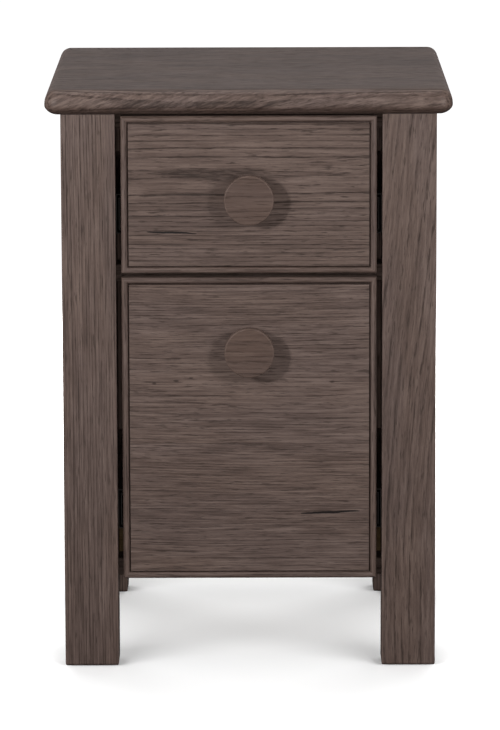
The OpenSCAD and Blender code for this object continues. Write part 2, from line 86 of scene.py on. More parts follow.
class Tree:
    """A node tree that is written as expressions."""

    def __init__(self, owner):
        owner.use_nodes = True
        self.tree = owner.node_tree
        self.tree.nodes.clear()

    def node(self, kind, **props):
        made = self.tree.nodes.new(kind)
        for name, value in props.items():
            setattr(made, name, value)
        return made

    def put(self, socket, value):
        if isinstance(value, bpy.types.NodeSocket):
            self.tree.links.new(value, socket)
        else:
            socket.default_value = value

    def math(self, operation, a, b=0.0, c=0.0, clamp=False):
        made = self.node("ShaderNodeMath", operation=operation, use_clamp=clamp)
        for socket, value in zip(made.inputs, (a, b, c)):
            self.put(socket, value)
        return made.outputs[0]

    def add(self, a, b):
        return self.math("ADD", a, b)

    def sub(self, a, b):
        return self.math("SUBTRACT", a, b)

    def mul(self, a, b):
        return self.math("MULTIPLY", a, b)

    def madd(self, a, b, c):
        """a times b, plus c."""
        return self.math("MULTIPLY_ADD", a, b, c)

    def absolute(self, a):
        """a without its sign."""
        return self.math("ABSOLUTE", a)

    def larger(self, a, b):
        return self.math("MAXIMUM", a, b)

    def smaller(self, a, b):
        return self.math("MINIMUM", a, b)

    def distance(self, a, b):
        """The straight length of a step of a and one of b at a right angle to it."""
        return self.math("SQRT", self.madd(a, a, self.mul(b, b)))

    def ramp(self, value, low, high, to_low=0.0, to_high=1.0, smooth=True):
        kind = "SMOOTHSTEP" if smooth else "LINEAR"
        made = self.node("ShaderNodeMapRange", interpolation_type=kind)
        for name, v in (("Value", value), ("From Min", low), ("From Max", high),
                        ("To Min", to_low), ("To Max", to_high)):
            self.put(made.inputs[name], v)
        return made.outputs[0]

    def combine(self, x, y, z):
        made = self.node("ShaderNodeCombineXYZ")
        for socket, value in zip(made.inputs, (x, y, z)):
            self.put(socket, value)
        return made.outputs[0]

    def split(self, vector):
        made = self.node("ShaderNodeSeparateXYZ")
        self.put(made.inputs[0], vector)
        return made.outputs[0], made.outputs[1], made.outputs[2]

    def place(self):
        return self.node("ShaderNodeTexCoord").outputs["Object"]

    def noise(self, vector, scale=1.0, detail=2.0, rough=0.5, output="Fac"):
        made = self.node("ShaderNodeTexNoise")
        for name, v in (("Vector", vector), ("Scale", scale), ("Detail", detail),
                        ("Roughness", rough)):
            self.put(made.inputs[name], v)
        return made.outputs[output]

    def centred(self, value, size):
        """A noise value, which is 0 to 1, turned into about minus size to size."""
        return self.madd(value, 2.0 * size, -size)

    def mix(self, factor, a, b, blend="MIX"):
        made = self.node("ShaderNodeMix", data_type="RGBA", blend_type=blend)
        self.put(made.inputs["Factor"], factor)
        self.put(made.inputs[6], a)
        self.put(made.inputs[7], b)
        return made.outputs[2]

    def grain(self, fibre, along, across, shift=0.0):
        """Fibre coordinates, scaled along and across the fibres."""
        a, b, c = fibre
        return self.combine(self.madd(a, along, shift), self.mul(b, across), self.mul(c, across))

    def bump(self, height, strength, distance):
        made = self.node("ShaderNodeBump")
        made.inputs["Strength"].default_value = strength
        made.inputs["Distance"].default_value = distance
        self.put(made.inputs["Height"], height)
        return made.outputs[0]

    def finish(self, shader):
        made = self.node("ShaderNodeOutputMaterial")
        self.put(made.inputs["Surface"], shader)


# For each grain axis, the numbers of that axis and of the two that follow it
AXES = {"x": (0, 1, 2), "y": (1, 2, 0), "z": (2, 0, 1)}


class Oak:
    """What sets one board's oak apart from another's."""
    ring = 0.004          # width of a growth ring
    lean = (0.0, 0.0)     # how far the pith leaves the grain axis, per metre
    bow = (0.0, 0.0)      # how much that lean changes along the board
    follow = 1.0          # how far the fibres follow that lean
    short = 1.0           # how much shorter than usual its fibres and pores look
    face = None           # heights between which they get straight and as long as usual
    wander = 0.004        # how far the rings stray in the long run
    ripple = 0.0006       # how far they stray in the short run
    uneven = 0.9          # how far the rings' widths differ
    band = 0.50           # how much of a ring its dark part takes
    steady = 0.15         # how evenly a ring's dark part runs along the board
    dash = 7.0            # how often per metre it breaks off
    slope = 0.0           # painted shade: how much paler the board gets per metre along the grain
    figure = 1.0          # strength of the rings
    streak = 1.0          # strength of the fibres between them
    pore = 1.0            # strength of the open pores
    rough = 0.50          # roughness between the pores
    relief = 0.5          # strength of the bump
    cracks = ()           # short dark checks, each as UPPER_CRACKS gives it
    knots = ()            # pin knots, each as LOWER_KNOTS gives it
    joints = ()           # places of glue joints
    joint_axis = 1        # the axis that those places are on
    under = None          # heights between which a nose is painted darker towards its underside, as painted shade
    wear = None           # the board's box, if its arrises are worn paler, partly as a painted highlight
    rim = None            # the middle and radius of a round rim that gets a painted highlight

    def __init__(self, **values):
        for name, value in values.items():
            setattr(self, name, value)


# How many features a metre of oak holds along the grain and across it
BEND_GRAIN = (1.7, 6.0)
RIPPLE_GRAIN = (11.0, 60.0)
PORE_GRAIN = (48.0, 560.0)
HAIR_GRAIN = (170.0, 2600.0)
FIBRE_GRAIN = (14.0, 300.0)
CLOUD_GRAIN = (2.4, 11.0)
WARMTH_GRAIN = (5.0, 22.0)

# How far a board's seed moves it along the grain, and how far each glued-on board is moved
SEED_SHIFT = 1.37
BOARD_SHIFT_ALONG = 2.31
BOARD_SHIFT_ACROSS = 0.031
# Shifts that keep the pores, the finest pores and the warmth of the stain from running together
PORE_SHIFT = 7.7
HAIR_SHIFT = 3.3
WARMTH_SHIFT = 5.1

# The part of a growth ring at which its dark band is full, and at which it starts to fade
BAND_FULL = 0.10
BAND_FADES = 0.12
UNEVEN_PER_RING = 0.35
DASH_PER_RING = 1.7
DASH_LEVELS = (0.34, 0.64)

# Noise levels between which a pore opens, and what a ring's dark band adds to the noise
PORE_LEVELS = (0.56, 0.72)
PORE_IN_BAND = 0.16
HAIR_LEVELS = (0.60, 0.74)
HAIR_IN_BAND = 0.10

# A tone of 0 is the darkest colour of the oak, 0.5 its general colour and 1 its palest
PLAIN_TONE = 0.61
BAND_TONE = -0.42
FIBRE_TONE = 0.95
CLOUD_TONE = 0.25
BOARD_TONE = 0.25
SHADE_SLOPE_MIDDLE = 0.3
BOARD_TONE_STEP = 3.7
PORE_DARK = 0.70
HAIR_DARK = 0.30
WARMTH_LEVELS = (0.35, 0.65)
WARM_STAIN = (1.02, 1.0, 0.965, 1.0)
# The painted shade that darkens a nose towards its underside
PAINTED_UNDER_SHADE = (0.66, 0.62, 0.60, 1.0)

# Heights in the bump, as shares of its depth, and what fibres and pores add to the roughness
PORE_HEIGHT = -0.8
HAIR_HEIGHT = -0.35
BAND_HEIGHT = -0.35
FIBRE_HEIGHT = 0.4
OAK_BUMP_DEPTH = 0.00035
PORE_ROUGH = 0.25
FIBRE_ROUGH = 0.10
OAK_SPECULAR = 0.32


def oak_material(name, grain, pith, seed, tones, wood):
    """Solid oak: rings round a pith that runs along the grain, and open pores in each ring."""
    material = bpy.data.materials.new(name)
    t = Tree(material)
    xyz = t.split(t.place())
    run = xyz[AXES[grain][0]]
    board = board_number(t, xyz, wood)
    bent = bent_grain(t, xyz, grain, board, seed, wood)
    fibre = bent
    if wood.follow < 1.0:
        fibre = straighten(t, bent, run, wood, wood.follow)

    band = ring_bands(t, bent, pith, seed, wood)
    pore, hair, streak = pores_and_streaks(t, fibre, wood.short, seed)
    if wood.face:
        straight = straighten(t, bent, run, wood, 0.0)
        on_face = t.ramp(xyz[2], *wood.face)
        kinds = zip((pore, hair, streak), pores_and_streaks(t, straight, 1.0, seed))
        pore, hair, streak = [t.madd(on_face, t.sub(new, old), old) for old, new in kinds]
    pore = t.ramp(t.madd(band, PORE_IN_BAND, pore), *PORE_LEVELS)
    hair = t.ramp(t.madd(band, HAIR_IN_BAND, hair), *HAIR_LEVELS)

    tone = oak_tone(t, run, board, fibre, band, streak, seed, wood)
    colour = oak_colour(t, tone, fibre, pore, hair, seed, tones, wood)
    height = t.madd(pore, PORE_HEIGHT, t.mul(hair, HAIR_HEIGHT))
    height = t.add(height, t.madd(band, BAND_HEIGHT, t.mul(streak, FIBRE_HEIGHT)))
    colour, height = add_marks(t, xyz, colour, height, tones, wood)

    shader = t.node("ShaderNodeBsdfPrincipled")
    rough = t.madd(streak, FIBRE_ROUGH, wood.rough - FIBRE_ROUGH / 2)
    t.put(shader.inputs["Base Color"], colour)
    t.put(shader.inputs["Roughness"], t.madd(pore, PORE_ROUGH, rough))
    shader.inputs["Specular IOR Level"].default_value = OAK_SPECULAR
    t.put(shader.inputs["Normal"], t.bump(height, wood.relief, OAK_BUMP_DEPTH))
    t.finish(shader.outputs[0])
    return material


def board_number(t, xyz, wood):
    """Which of the boards that are glued edge to edge a place lies in, counted from 0."""
    board = 0.0
    for joint in wood.joints:
        board = t.add(t.math("GREATER_THAN", xyz[wood.joint_axis], joint), board)
    return board


def bent_grain(t, xyz, grain, board, seed, wood):
    """Coordinates along the grain and on the two axes across it, bent as slowly as the tree's
    own fibres were. The rings and the pores bend with them."""
    a, b, c = (xyz[i] for i in AXES[grain])
    run = a
    if wood.joints:
        a = t.madd(board, BOARD_SHIFT_ALONG, a)
        b = t.madd(board, BOARD_SHIFT_ACROSS, b)
    a = t.add(a, seed * SEED_SHIFT)
    stray = t.noise(t.grain((a, b, c), *BEND_GRAIN), output="Color")
    stray_b, stray_c, _ = t.split(stray)
    b = t.add(t.madd(run, wood.lean[0], b), t.centred(stray_b, wood.wander))
    c = t.add(t.madd(run, wood.lean[1], c), t.centred(stray_c, wood.wander))
    if any(wood.bow):
        square = t.mul(run, run)
        b = t.madd(square, wood.bow[0], b)
        c = t.madd(square, wood.bow[1], c)
    return a, b, c


def straighten(t, bent, run, wood, follow):
    """The bent coordinates with only a share, from 0 to 1, of the board's lean."""
    share = follow - 1.0
    a, b, c = bent
    lean_b = t.mul(run, t.madd(run, share * wood.bow[0], share * wood.lean[0]))
    lean_c = t.mul(run, t.madd(run, share * wood.bow[1], share * wood.lean[1]))
    return a, t.add(b, lean_b), t.add(c, lean_c)


def ring_bands(t, bent, pith, seed, wood):
    """1 in the dark band of each growth ring and 0 between the bands."""
    a, b, c = bent
    radius = t.distance(t.sub(b, pith[0]), t.sub(c, pith[1]))
    ripple = t.noise(t.grain(bent, *RIPPLE_GRAIN, seed), rough=0.6)
    radius = t.add(radius, t.centred(ripple, wood.ripple))
    count = t.mul(radius, 1.0 / wood.ring)
    uneven = t.noise(t.combine(t.mul(count, UNEVEN_PER_RING), seed, 0.0), detail=1.0)
    count = t.add(count, t.centred(uneven, wood.uneven))
    phase = t.math("FRACT", count)
    rise = t.ramp(phase, 0.0, BAND_FULL)
    fall = t.ramp(phase, BAND_FADES, wood.band, 1.0, 0.0)
    ring = t.mul(t.math("FLOOR", count), DASH_PER_RING)
    dashes = t.noise(t.combine(t.mul(a, wood.dash), ring, seed), rough=0.6)
    return t.mul(t.mul(rise, fall), t.ramp(dashes, *DASH_LEVELS, wood.steady, 1.0))


def pores_and_streaks(t, fibre, short, seed):
    """The noises of the pores, of the finest pores and of the fibres' streaks. Pores and streaks
    are short times shorter than usual."""
    pore_along, pore_across = PORE_GRAIN
    streak_along, streak_across = FIBRE_GRAIN
    pore = t.grain(fibre, pore_along * short, pore_across, PORE_SHIFT + seed)
    hair = t.grain(fibre, *HAIR_GRAIN, HAIR_SHIFT + seed)
    streak = t.grain(fibre, streak_along * short, streak_across, seed)
    return (t.noise(pore, detail=3.0, rough=0.55), t.noise(hair, detail=1.0),
            t.noise(streak, detail=4.0, rough=0.75))


def oak_tone(t, run, board, fibre, band, streak, seed, wood):
    """How pale the oak is, before its pores."""
    cloud = t.noise(t.grain(fibre, *CLOUD_GRAIN, 2.0 * seed))
    tone = t.madd(band, BAND_TONE * wood.figure, PLAIN_TONE)
    tone = t.add(tone, t.centred(streak, FIBRE_TONE * wood.streak))
    tone = t.add(tone, t.centred(cloud, CLOUD_TONE))
    # Painted shade: the board gets paler along its grain, on the legs towards the top
    if wood.slope:
        tone = t.add(tone, t.madd(run, wood.slope, -SHADE_SLOPE_MIDDLE * wood.slope))
    if wood.joints:
        shade = t.noise(t.combine(t.mul(board, BOARD_TONE_STEP), seed, 0.0))
        tone = t.add(tone, t.centred(shade, BOARD_TONE))
    return tone


def oak_colour(t, tone, fibre, pore, hair, seed, tones, wood):
    """The stained colour of a tone. The stain took warmer in some places than in others."""
    dark, middling, pale = tones
    colour = t.mix(t.ramp(tone, 0.0, 0.5, smooth=False), dark, middling)
    colour = t.mix(t.ramp(tone, 0.5, 1.0, smooth=False), colour, pale)
    warmth = t.noise(t.grain(fibre, *WARMTH_GRAIN, WARMTH_SHIFT + seed))
    colour = t.mix(t.ramp(warmth, *WARMTH_LEVELS), colour, WARM_STAIN, blend="MULTIPLY")
    colour = t.mix(t.mul(pore, PORE_DARK * wood.pore), colour, dark)
    return t.mix(t.mul(hair, HAIR_DARK * wood.pore), colour, dark)


def add_marks(t, xyz, colour, height, tones, wood):
    """Joints, painted shade, wear with a painted highlight, a painted rim highlight, knots and
    cracks, each where a board has it.
    """
    dark, _, pale = tones
    for joint in wood.joints:
        colour = add_joint(t, xyz[wood.joint_axis], joint, colour, dark)
    # Painted shade: a nose gets darker towards its underside
    if wood.under:
        low = t.ramp(xyz[2], *wood.under, 1.0, 0.0)
        colour = t.mix(low, colour, PAINTED_UNDER_SHADE, blend="MULTIPLY")
    # Paler arrises: worn, and partly a painted highlight
    if wood.wear:
        colour = add_wear(t, xyz, wood.wear, colour, pale)
    # Painted highlight round a knob's rim
    if wood.rim:
        colour = add_rim(t, xyz, wood.rim, colour, pale)
    for knot in wood.knots:
        colour = add_knot(t, xyz, knot, colour, dark)
    for crack in wood.cracks:
        colour, height = add_crack(t, xyz, crack, colour, height)
    return colour, height


# A glue line: how far from its middle it is full and gone, and how dark it is
JOINT_REACH = (0.0001, 0.0006)
JOINT_DARK = 0.55


def add_joint(t, place, joint, colour, dark):
    """The thin line of a glue joint between two boards."""
    off = t.absolute(t.sub(place, joint))
    return t.mix(t.ramp(off, *JOINT_REACH, JOINT_DARK, 0.0), colour, dark)


# Worn arrises, partly a painted edge highlight: how far from the edge it is full and gone, its
# patches per metre, the noise levels between which a patch lies, and the least and most of it
WEAR_REACH = (0.0004, 0.0022)
WEAR_PATCHES = 55.0
WEAR_LEVELS = (0.35, 0.6)
WEAR_STRENGTH = (0.15, 0.5)


def add_wear(t, xyz, box, colour, pale):
    """Paler arrises, partly rubbed wear and partly a painted highlight: places that are close to
    two faces of the board at once.
    """
    inside = []
    for value, low, high in zip(xyz, *box):
        from_middle = t.absolute(t.sub(value, (low + high) / 2))
        inside.append(t.sub((high - low) / 2, from_middle))
    nearer = t.smaller(inside[0], inside[1])
    further = t.larger(inside[0], inside[1])
    second = t.larger(nearer, t.smaller(further, inside[2]))
    patches = t.noise(t.combine(*xyz), scale=WEAR_PATCHES, detail=3.0)
    wear = t.ramp(patches, *WEAR_LEVELS, *WEAR_STRENGTH)
    return t.mix(t.mul(t.ramp(second, *WEAR_REACH, 1.0, 0.0), wear), colour, pale)


# The painted highlight on the rim of a knob: how far inside its radius it starts and is full, and
# as above
RIM_HIGHLIGHT_STARTS = 0.0020
RIM_HIGHLIGHT_FULL = 0.0006
RIM_HIGHLIGHT_PATCHES = 70.0
RIM_HIGHLIGHT_LEVELS = (0.3, 0.6)
RIM_HIGHLIGHT_STRENGTH = (0.15, 0.65)


def add_rim(t, xyz, rim, colour, pale):
    """A painted highlight: a paler, patchy line round the rim of a knob."""
    (x0, z0), radius = rim
    away = t.distance(t.sub(xyz[0], x0), t.sub(xyz[2], z0))
    patches = t.noise(t.combine(*xyz), scale=RIM_HIGHLIGHT_PATCHES, detail=3.0)
    wear = t.ramp(patches, *RIM_HIGHLIGHT_LEVELS, *RIM_HIGHLIGHT_STRENGTH)
    mask = t.mul(t.ramp(away, radius - RIM_HIGHLIGHT_STARTS, radius - RIM_HIGHLIGHT_FULL), wear)
    return t.mix(mask, colour, pale)


# A pin knot: how many times longer than high it is, how ragged, and its full and faded reach
KNOT_LONG = 2.2
KNOT_RAGS = 0.9
KNOT_RAGGED = 0.5
KNOT_REACH = (0.35, 1.0)
KNOT_DARK = 0.85
KNOT_SHIFT = 91.0


def add_knot(t, xyz, knot, colour, dark):
    """A small dark pin knot at (x, z), with its half length along the grain."""
    (x0, z0), half = knot
    x = t.mul(t.sub(xyz[0], x0), 1.0 / half)
    z = t.mul(t.sub(xyz[2], z0), KNOT_LONG / half)
    ragged = t.noise(t.combine(t.mul(x, KNOT_RAGS), t.mul(z, KNOT_RAGS), x0 * KNOT_SHIFT))
    away = t.add(t.distance(x, z), t.centred(ragged, KNOT_RAGGED))
    return t.mix(t.ramp(away, *KNOT_REACH, KNOT_DARK, 0.0), colour, dark)


# A crack: its waves per metre and their height, how bluntly it ends, its least half width, and
# the share of its width over which it gets full
CRACK_WAVES = 60.0
CRACK_WAVE = 0.0016
CRACK_BLUNT = 0.35
CRACK_LEAST = 0.00001
CRACK_SOFT = 0.4
CRACK_COLOUR = srgb(20, 11, 8)


def add_crack(t, xyz, crack, colour, height):
    """A short dark check in the face of a drawer front, round (x, z)."""
    (x0, z0), half, slope, width = crack
    x = t.sub(xyz[0], x0)
    z = t.sub(xyz[2], z0)
    wave = t.noise(t.combine(t.mul(xyz[0], CRACK_WAVES), x0, z0))
    z = t.add(t.madd(x, -slope, z), t.centred(wave, CRACK_WAVE))
    taper = t.math("SUBTRACT", 1.0, t.mul(t.absolute(x), 1.0 / half), clamp=True)
    reach = t.madd(t.math("POWER", taper, CRACK_BLUNT), width, CRACK_LEAST)
    mask = t.math("SUBTRACT", 1.0, t.math("DIVIDE", t.absolute(z), reach), clamp=True)
    mask = t.ramp(mask, 0.0, CRACK_SOFT)
    return t.mix(mask, colour, CRACK_COLOUR), t.madd(mask, -1.0, height)


# Tones of each oak: its open pores, its general colour and its palest fibres
OAK = (srgb(55, 43, 38), srgb(93, 77, 71), srgb(119, 102, 95))
CASE = (srgb(48, 38, 33), srgb(80, 66, 60), srgb(101, 86, 80))
KNOB = (srgb(51, 38, 32), srgb(85, 68, 61), srgb(107, 89, 81))
BOX = (srgb(150, 116, 82), srgb(198, 166, 127), srgb(224, 198, 160))
PLY = (srgb(142, 110, 76), srgb(190, 156, 115), srgb(212, 184, 145))

# What the pale wood inside has in common
BOX_WOOD = dict(tones=BOX, ring=0.0060, figure=0.6, pore=0.45, wander=0.010)
PLY_WOOD = dict(tones=PLY, ring=0.006, wander=0.02, figure=0.6, pore=0.4)


def middle(node):
    low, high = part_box(node)
    return [(a + b) / 2 for a, b in zip(low, high)]


def dress(node, material):
    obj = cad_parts[node]
    obj.data.materials.clear()
    obj.data.materials.append(material)


def dress_oak(node, grain, seed, off, tones=OAK, **more):
    """Gives a board its own oak. off is the pith's place from the board's middle, on the two
    axes that follow the grain axis in the order x, y, z."""
    wood = Oak(**more)
    centre = middle(node)
    along_axis, second, third = AXES[grain]
    # The lean is measured from the origin, so the pith is moved to pass where off puts it
    along = centre[along_axis]
    pith = (centre[second] + off[0] + along * (wood.lean[0] + wood.bow[0] * along),
            centre[third] + off[1] + along * (wood.lean[1] + wood.bow[1] * along))
    material = oak_material("oak_" + node, grain, pith, seed, tones, wood)
    dress(node, material)
    return material


# The top's nose is fullest a little below the middle of its thickness, squarer above that line
# and flatter below it
NOSE_DEPTH = 0.01425
NOSE_WIDEST = 0.36
NOSE_SQUARE = 2.35
NOSE_FLAT = 1.75
NOSE_SHARP = math.radians(35)
TOUCHING = 1e-5
NEAR_ZERO = 1e-6


def nose_point(x, y, part):
    """Where a point of the plain bullnose goes: x and y count from the top's inner rectangle, and
    part runs from 0 on the underside to 1 on the face."""
    out = min(math.hypot(x, y) / NOSE_DEPTH, 1.0)
    rise = abs(2 * part - 1)
    power = 2 / (NOSE_SQUARE if part > 0.5 else NOSE_FLAT)
    stretch = (out ** power) / out if out > NEAR_ZERO else 0.0
    if part > 0.5:
        part = NOSE_WIDEST + (1 - NOSE_WIDEST) * rise ** power
    else:
        part = NOSE_WIDEST * (1 - rise ** power)
    return x * stretch, y * stretch, part


def make_top(material):
    """The top panel's own mesh, with its nose reshaped."""
    low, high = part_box("top_panel")
    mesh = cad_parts["top_panel"].data.copy()
    thick = high[2] - low[2]
    inner_x = (high[0] - low[0]) / 2 - NOSE_DEPTH
    inner_y = (high[1] - low[1]) / 2 - NOSE_DEPTH
    middle_y = (high[1] + low[1]) / 2
    for vertex in mesh.vertices:
        x, y, z = vertex.co.x, vertex.co.y - middle_y, vertex.co.z
        base_x = max(-inner_x, min(inner_x, x))
        base_y = max(-inner_y, min(inner_y, y))
        if math.hypot(x - base_x, y - base_y) > TOUCHING:
            x, y, part = nose_point(x - base_x, y - base_y, (z - low[2]) / thick)
            vertex.co = (base_x + x, middle_y + base_y + y, low[2] + part * thick)
    if mesh.has_custom_normals:
        mesh.attributes.remove(mesh.attributes["custom_normal"])
    mesh.shade_smooth()
    mesh.set_sharp_from_angle(angle=NOSE_SHARP)
    piece = bpy.data.objects.new("top", mesh)
    scene.collection.objects.link(piece)
    mesh.materials.clear()
    mesh.materials.append(material)
    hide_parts("top_panel")
    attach(piece, "case")


def dress_top():
    """Four boards glued side by side. Its fibres run straight on the face and lean on the nose."""
    # Its nose gets painted shade, darker towards the underside
    oak = dress_oak("top_panel", "x", 1.0, (0.30, 0.02), ring=0.0036, lean=(0.0, -0.28),
                    bow=(0.0, 0.38), wander=0.006, ripple=0.0008, streak=1.45, short=2.3,
                    figure=0.7, joints=(-0.115, 0.012, 0.121), under=(0.6400, 0.6480),
                    face=(0.6600, 0.6632), relief=0.3)
    make_top(oak)


# Each leg's arrises are worn paler, partly as a painted highlight
def dress_legs():
    # Painted shade: the front legs' slope makes them paler towards the top
    dress_oak("front_left_leg", "z", 2.0, (-0.16, 0.05), ring=0.0030, lean=(0.01, 0.0),
              wander=0.006, ripple=0.0004, slope=0.30, short=0.9, steady=0.2,
              wear=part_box("front_left_leg"))
    dress_oak("front_right_leg", "z", 3.0, (-0.15, 0.11), ring=0.0090, lean=(-0.02, 0.0),
              bow=(-0.12, 0.0), follow=0.45, wander=0.013, ripple=0.0020, short=1.3, dash=12.0,
              steady=0.15, band=0.36, figure=0.78, streak=0.95, slope=0.2,
              wear=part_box("front_right_leg"))
    dress_oak("rear_left_leg", "z", 4.0, (0.10, -0.05), ring=0.0036, wear=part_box("rear_left_leg"))
    dress_oak("rear_right_leg", "z", 5.0, (-0.08, -0.07), ring=0.0040,
              wear=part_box("rear_right_leg"))


# The side panels' two glue joints, from the panel's middle
PANEL_JOINTS = (-0.062, 0.055)


def dress_panels():
    for name, side, seed in (("left", -1, 7.0), ("right", 1, 8.0)):
        node = name + "_side_panel"
        joints = tuple(middle(node)[1] + place for place in PANEL_JOINTS)
        dress_oak(node, "z", seed, (side * 0.05, 0.03), ring=0.0042, wander=0.014, ripple=0.0010,
                  lean=(0.0, 0.05), joints=joints)
    dress_oak("back_panel", "z", 18.0, (0.03, 0.09), **PLY_WOOD)
    dress_oak("bottom_panel", "x", 19.0, (0.03, 0.09), **PLY_WOOD)


RAILS = ("front_top_rail", "divider_rail", "front_bottom_rail", "rear_top_rail",
         "rear_bottom_rail")
RUNNERS = ("upper_left_runner", "upper_right_runner", "lower_left_runner", "lower_right_runner")
CASE_PITH = (0.05, 0.08)


def dress_rails():
    for i, node in enumerate(RAILS):
        dress_oak(node, "x", 9.0 + i, CASE_PITH, tones=CASE)
    for i, node in enumerate(RUNNERS):
        dress_oak(node, "y", 14.0 + i, CASE_PITH, tones=CASE, rough=0.32)


# A crack: its middle at (x, z), half its length, its slope and half its width
UPPER_CRACKS = (((-0.0870, 0.5005), 0.0280, -0.03, 0.0015),)
LOWER_CRACKS = (((0.0915, 0.1790), 0.0335, 0.040, 0.0018),)
# A pin knot: its middle at (x, z) and half its length
LOWER_KNOTS = (((-0.083, 0.3310), 0.0045), ((-0.108, 0.3285), 0.0035), ((0.094, 0.3300), 0.0040),
               ((-0.066, 0.3345), 0.0030))


def dress_upper_front(seed):
    dress_oak("upper_drawer_front", "x", seed, (0.045, 0.022), ring=0.0041, wander=0.007,
              ripple=0.0008, uneven=0.4, band=0.32, steady=0.5, figure=0.95, streak=1.0,
              pore=1.35, cracks=UPPER_CRACKS)


def dress_lower_front(seed):
    dress_oak("lower_drawer_front", "x", seed, (0.03, 0.035), ring=0.0031, wander=0.012,
              ripple=0.0010, cracks=LOWER_CRACKS, knots=LOWER_KNOTS, figure=0.6, short=1.1,
              streak=1.1, joints=(0.259,), joint_axis=2)


def dress_beads(level, seed):
    for i, (part, grain) in enumerate((("rails", "x"), ("stiles", "z"))):
        dress_oak(level + "_bead_" + part, grain, seed + i, (0.06, 0.08), figure=0.5,
                  ripple=0.0003)


def dress_knob(level, seed):
    knob = level + "_knob"
    x, _, z = middle(knob)
    low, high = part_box(knob)
    # The knob's rim gets a painted highlight
    dress_oak(knob, "x", seed, (0.05, 0.03), tones=KNOB, ring=0.0036, ripple=0.0004, figure=0.3,
              streak=0.7, pore=0.7, rim=((x, z), (high[0] - low[0]) / 2))


def dress_box(level, seed):
    for i, part in enumerate(("front", "back")):
        dress_oak(level + "_box_" + part, "x", seed + i, (0.06, 0.02), **BOX_WOOD)
    for i, part in enumerate(("left", "right")):
        dress_oak(level + "_box_" + part, "y", seed + 2 + i, (0.01, 0.06), **BOX_WOOD)
    dress_oak(level + "_box_bottom", "x", seed + 4, (0.03, 0.09), **PLY_WOOD)


def dress_drawers():
    for level, dress_front, seed in (("upper", dress_upper_front, 30.0),
                                     ("lower", dress_lower_front, 50.0)):
        dress_front(seed)
        dress_beads(level, seed + 1)
        dress_knob(level, seed + 3)
        dress_box(level, seed + 4)


# Steel: its spots per metre, how much darker they are, and its bump
STEEL_SPOTS = 70.0
STEEL_SPOT_LEVELS = (0.35, 0.7)
STEEL_DARKER = 0.7
STEEL_ROUGHER = 0.18
HARDWARE_BUMP_DEPTH = 0.0002


def steel_material(name, colour, metallic, rough, scale, relief):
    """Plated or coated steel, with faint drawing lines and a little unevenness."""
    material = bpy.data.materials.new(name)
    t = Tree(material)
    place = t.place()
    lines = t.noise(t.combine(*(t.mul(v, k) for v, k in zip(t.split(place), scale))))
    spots = t.noise(place, scale=STEEL_SPOTS, detail=3.0)
    darker = tuple(v * STEEL_DARKER for v in colour[:3]) + (1.0,)
    shader = t.node("ShaderNodeBsdfPrincipled")
    shader.inputs["Metallic"].default_value = metallic
    t.put(shader.inputs["Base Color"], t.mix(t.ramp(spots, *STEEL_SPOT_LEVELS), colour, darker))
    t.put(shader.inputs["Roughness"], t.madd(lines, STEEL_ROUGHER, rough))
    t.put(shader.inputs["Normal"], t.bump(lines, relief, HARDWARE_BUMP_DEPTH))
    t.finish(shader.outputs[0])
    return material


NYLON_GRIT = 1400.0
NYLON_DARK = srgb(34, 33, 32)
NYLON_PALE = srgb(52, 50, 48)
NYLON_ROUGH = 0.45
NYLON_ROUGHER = 0.2
NYLON_RELIEF = 0.2


def nylon_material():
    """Black nylon with a fine grit."""
    material = bpy.data.materials.new("nylon")
    t = Tree(material)
    grit = t.noise(t.place(), scale=NYLON_GRIT)
    shader = t.node("ShaderNodeBsdfPrincipled")
    t.put(shader.inputs["Base Color"], t.mix(grit, NYLON_DARK, NYLON_PALE))
    t.put(shader.inputs["Roughness"], t.madd(grit, NYLON_ROUGHER, NYLON_ROUGH))
    t.put(shader.inputs["Normal"], t.bump(grit, NYLON_RELIEF, HARDWARE_BUMP_DEPTH))
    t.finish(shader.outputs[0])
    return material


SLIDE_PARTS = ("outer_slides", "middle_slides", "left_inner_slide", "right_inner_slide")
ZINC_PARTS = ("outer_ball_cages", "inner_ball_cages", "knob_screw", "slide_screws",
              "front_screws")
CASE_SCREWS = ("top_screws", "back_screws", "cabinet_slide_screws")


def dress_hardware():
    slide = steel_material("black_steel", srgb(58, 54, 51), 0.0, 0.25, (1500, 14, 1500), 0.08)
    zinc = steel_material("zinc_steel", srgb(188, 189, 190), 1.0, 0.32, (900, 900, 900), 0.15)
    for level in ("upper", "lower"):
        for part in SLIDE_PARTS:
            dress(level + "_" + part, slide)
        for part in ZINC_PARTS:
            dress(level + "_" + part, zinc)
    for node in CASE_SCREWS:
        dress(node, zinc)
    dress("foot_glides", nylon_material())


# The floor: its white as the camera sees it and, much less, as its light reaches the wood
FLOOR_HALF = 30.0
FLOOR_SEEN = 0.95
FLOOR_BOUNCE = 0.071
# Where the lamps no longer reach, far from a rectangle that reaches this far from the origin, the
# floor shines white by itself; close by at the left and right it paints light over the shadow
NEAR_X = 0.15
NEAR_Y = 0.20
FAR_LIFT = (0.1, 1.2, 0.0, 1.0)
SIDE_LIFT = (0.19, 0.25, 0.0, 0.36)


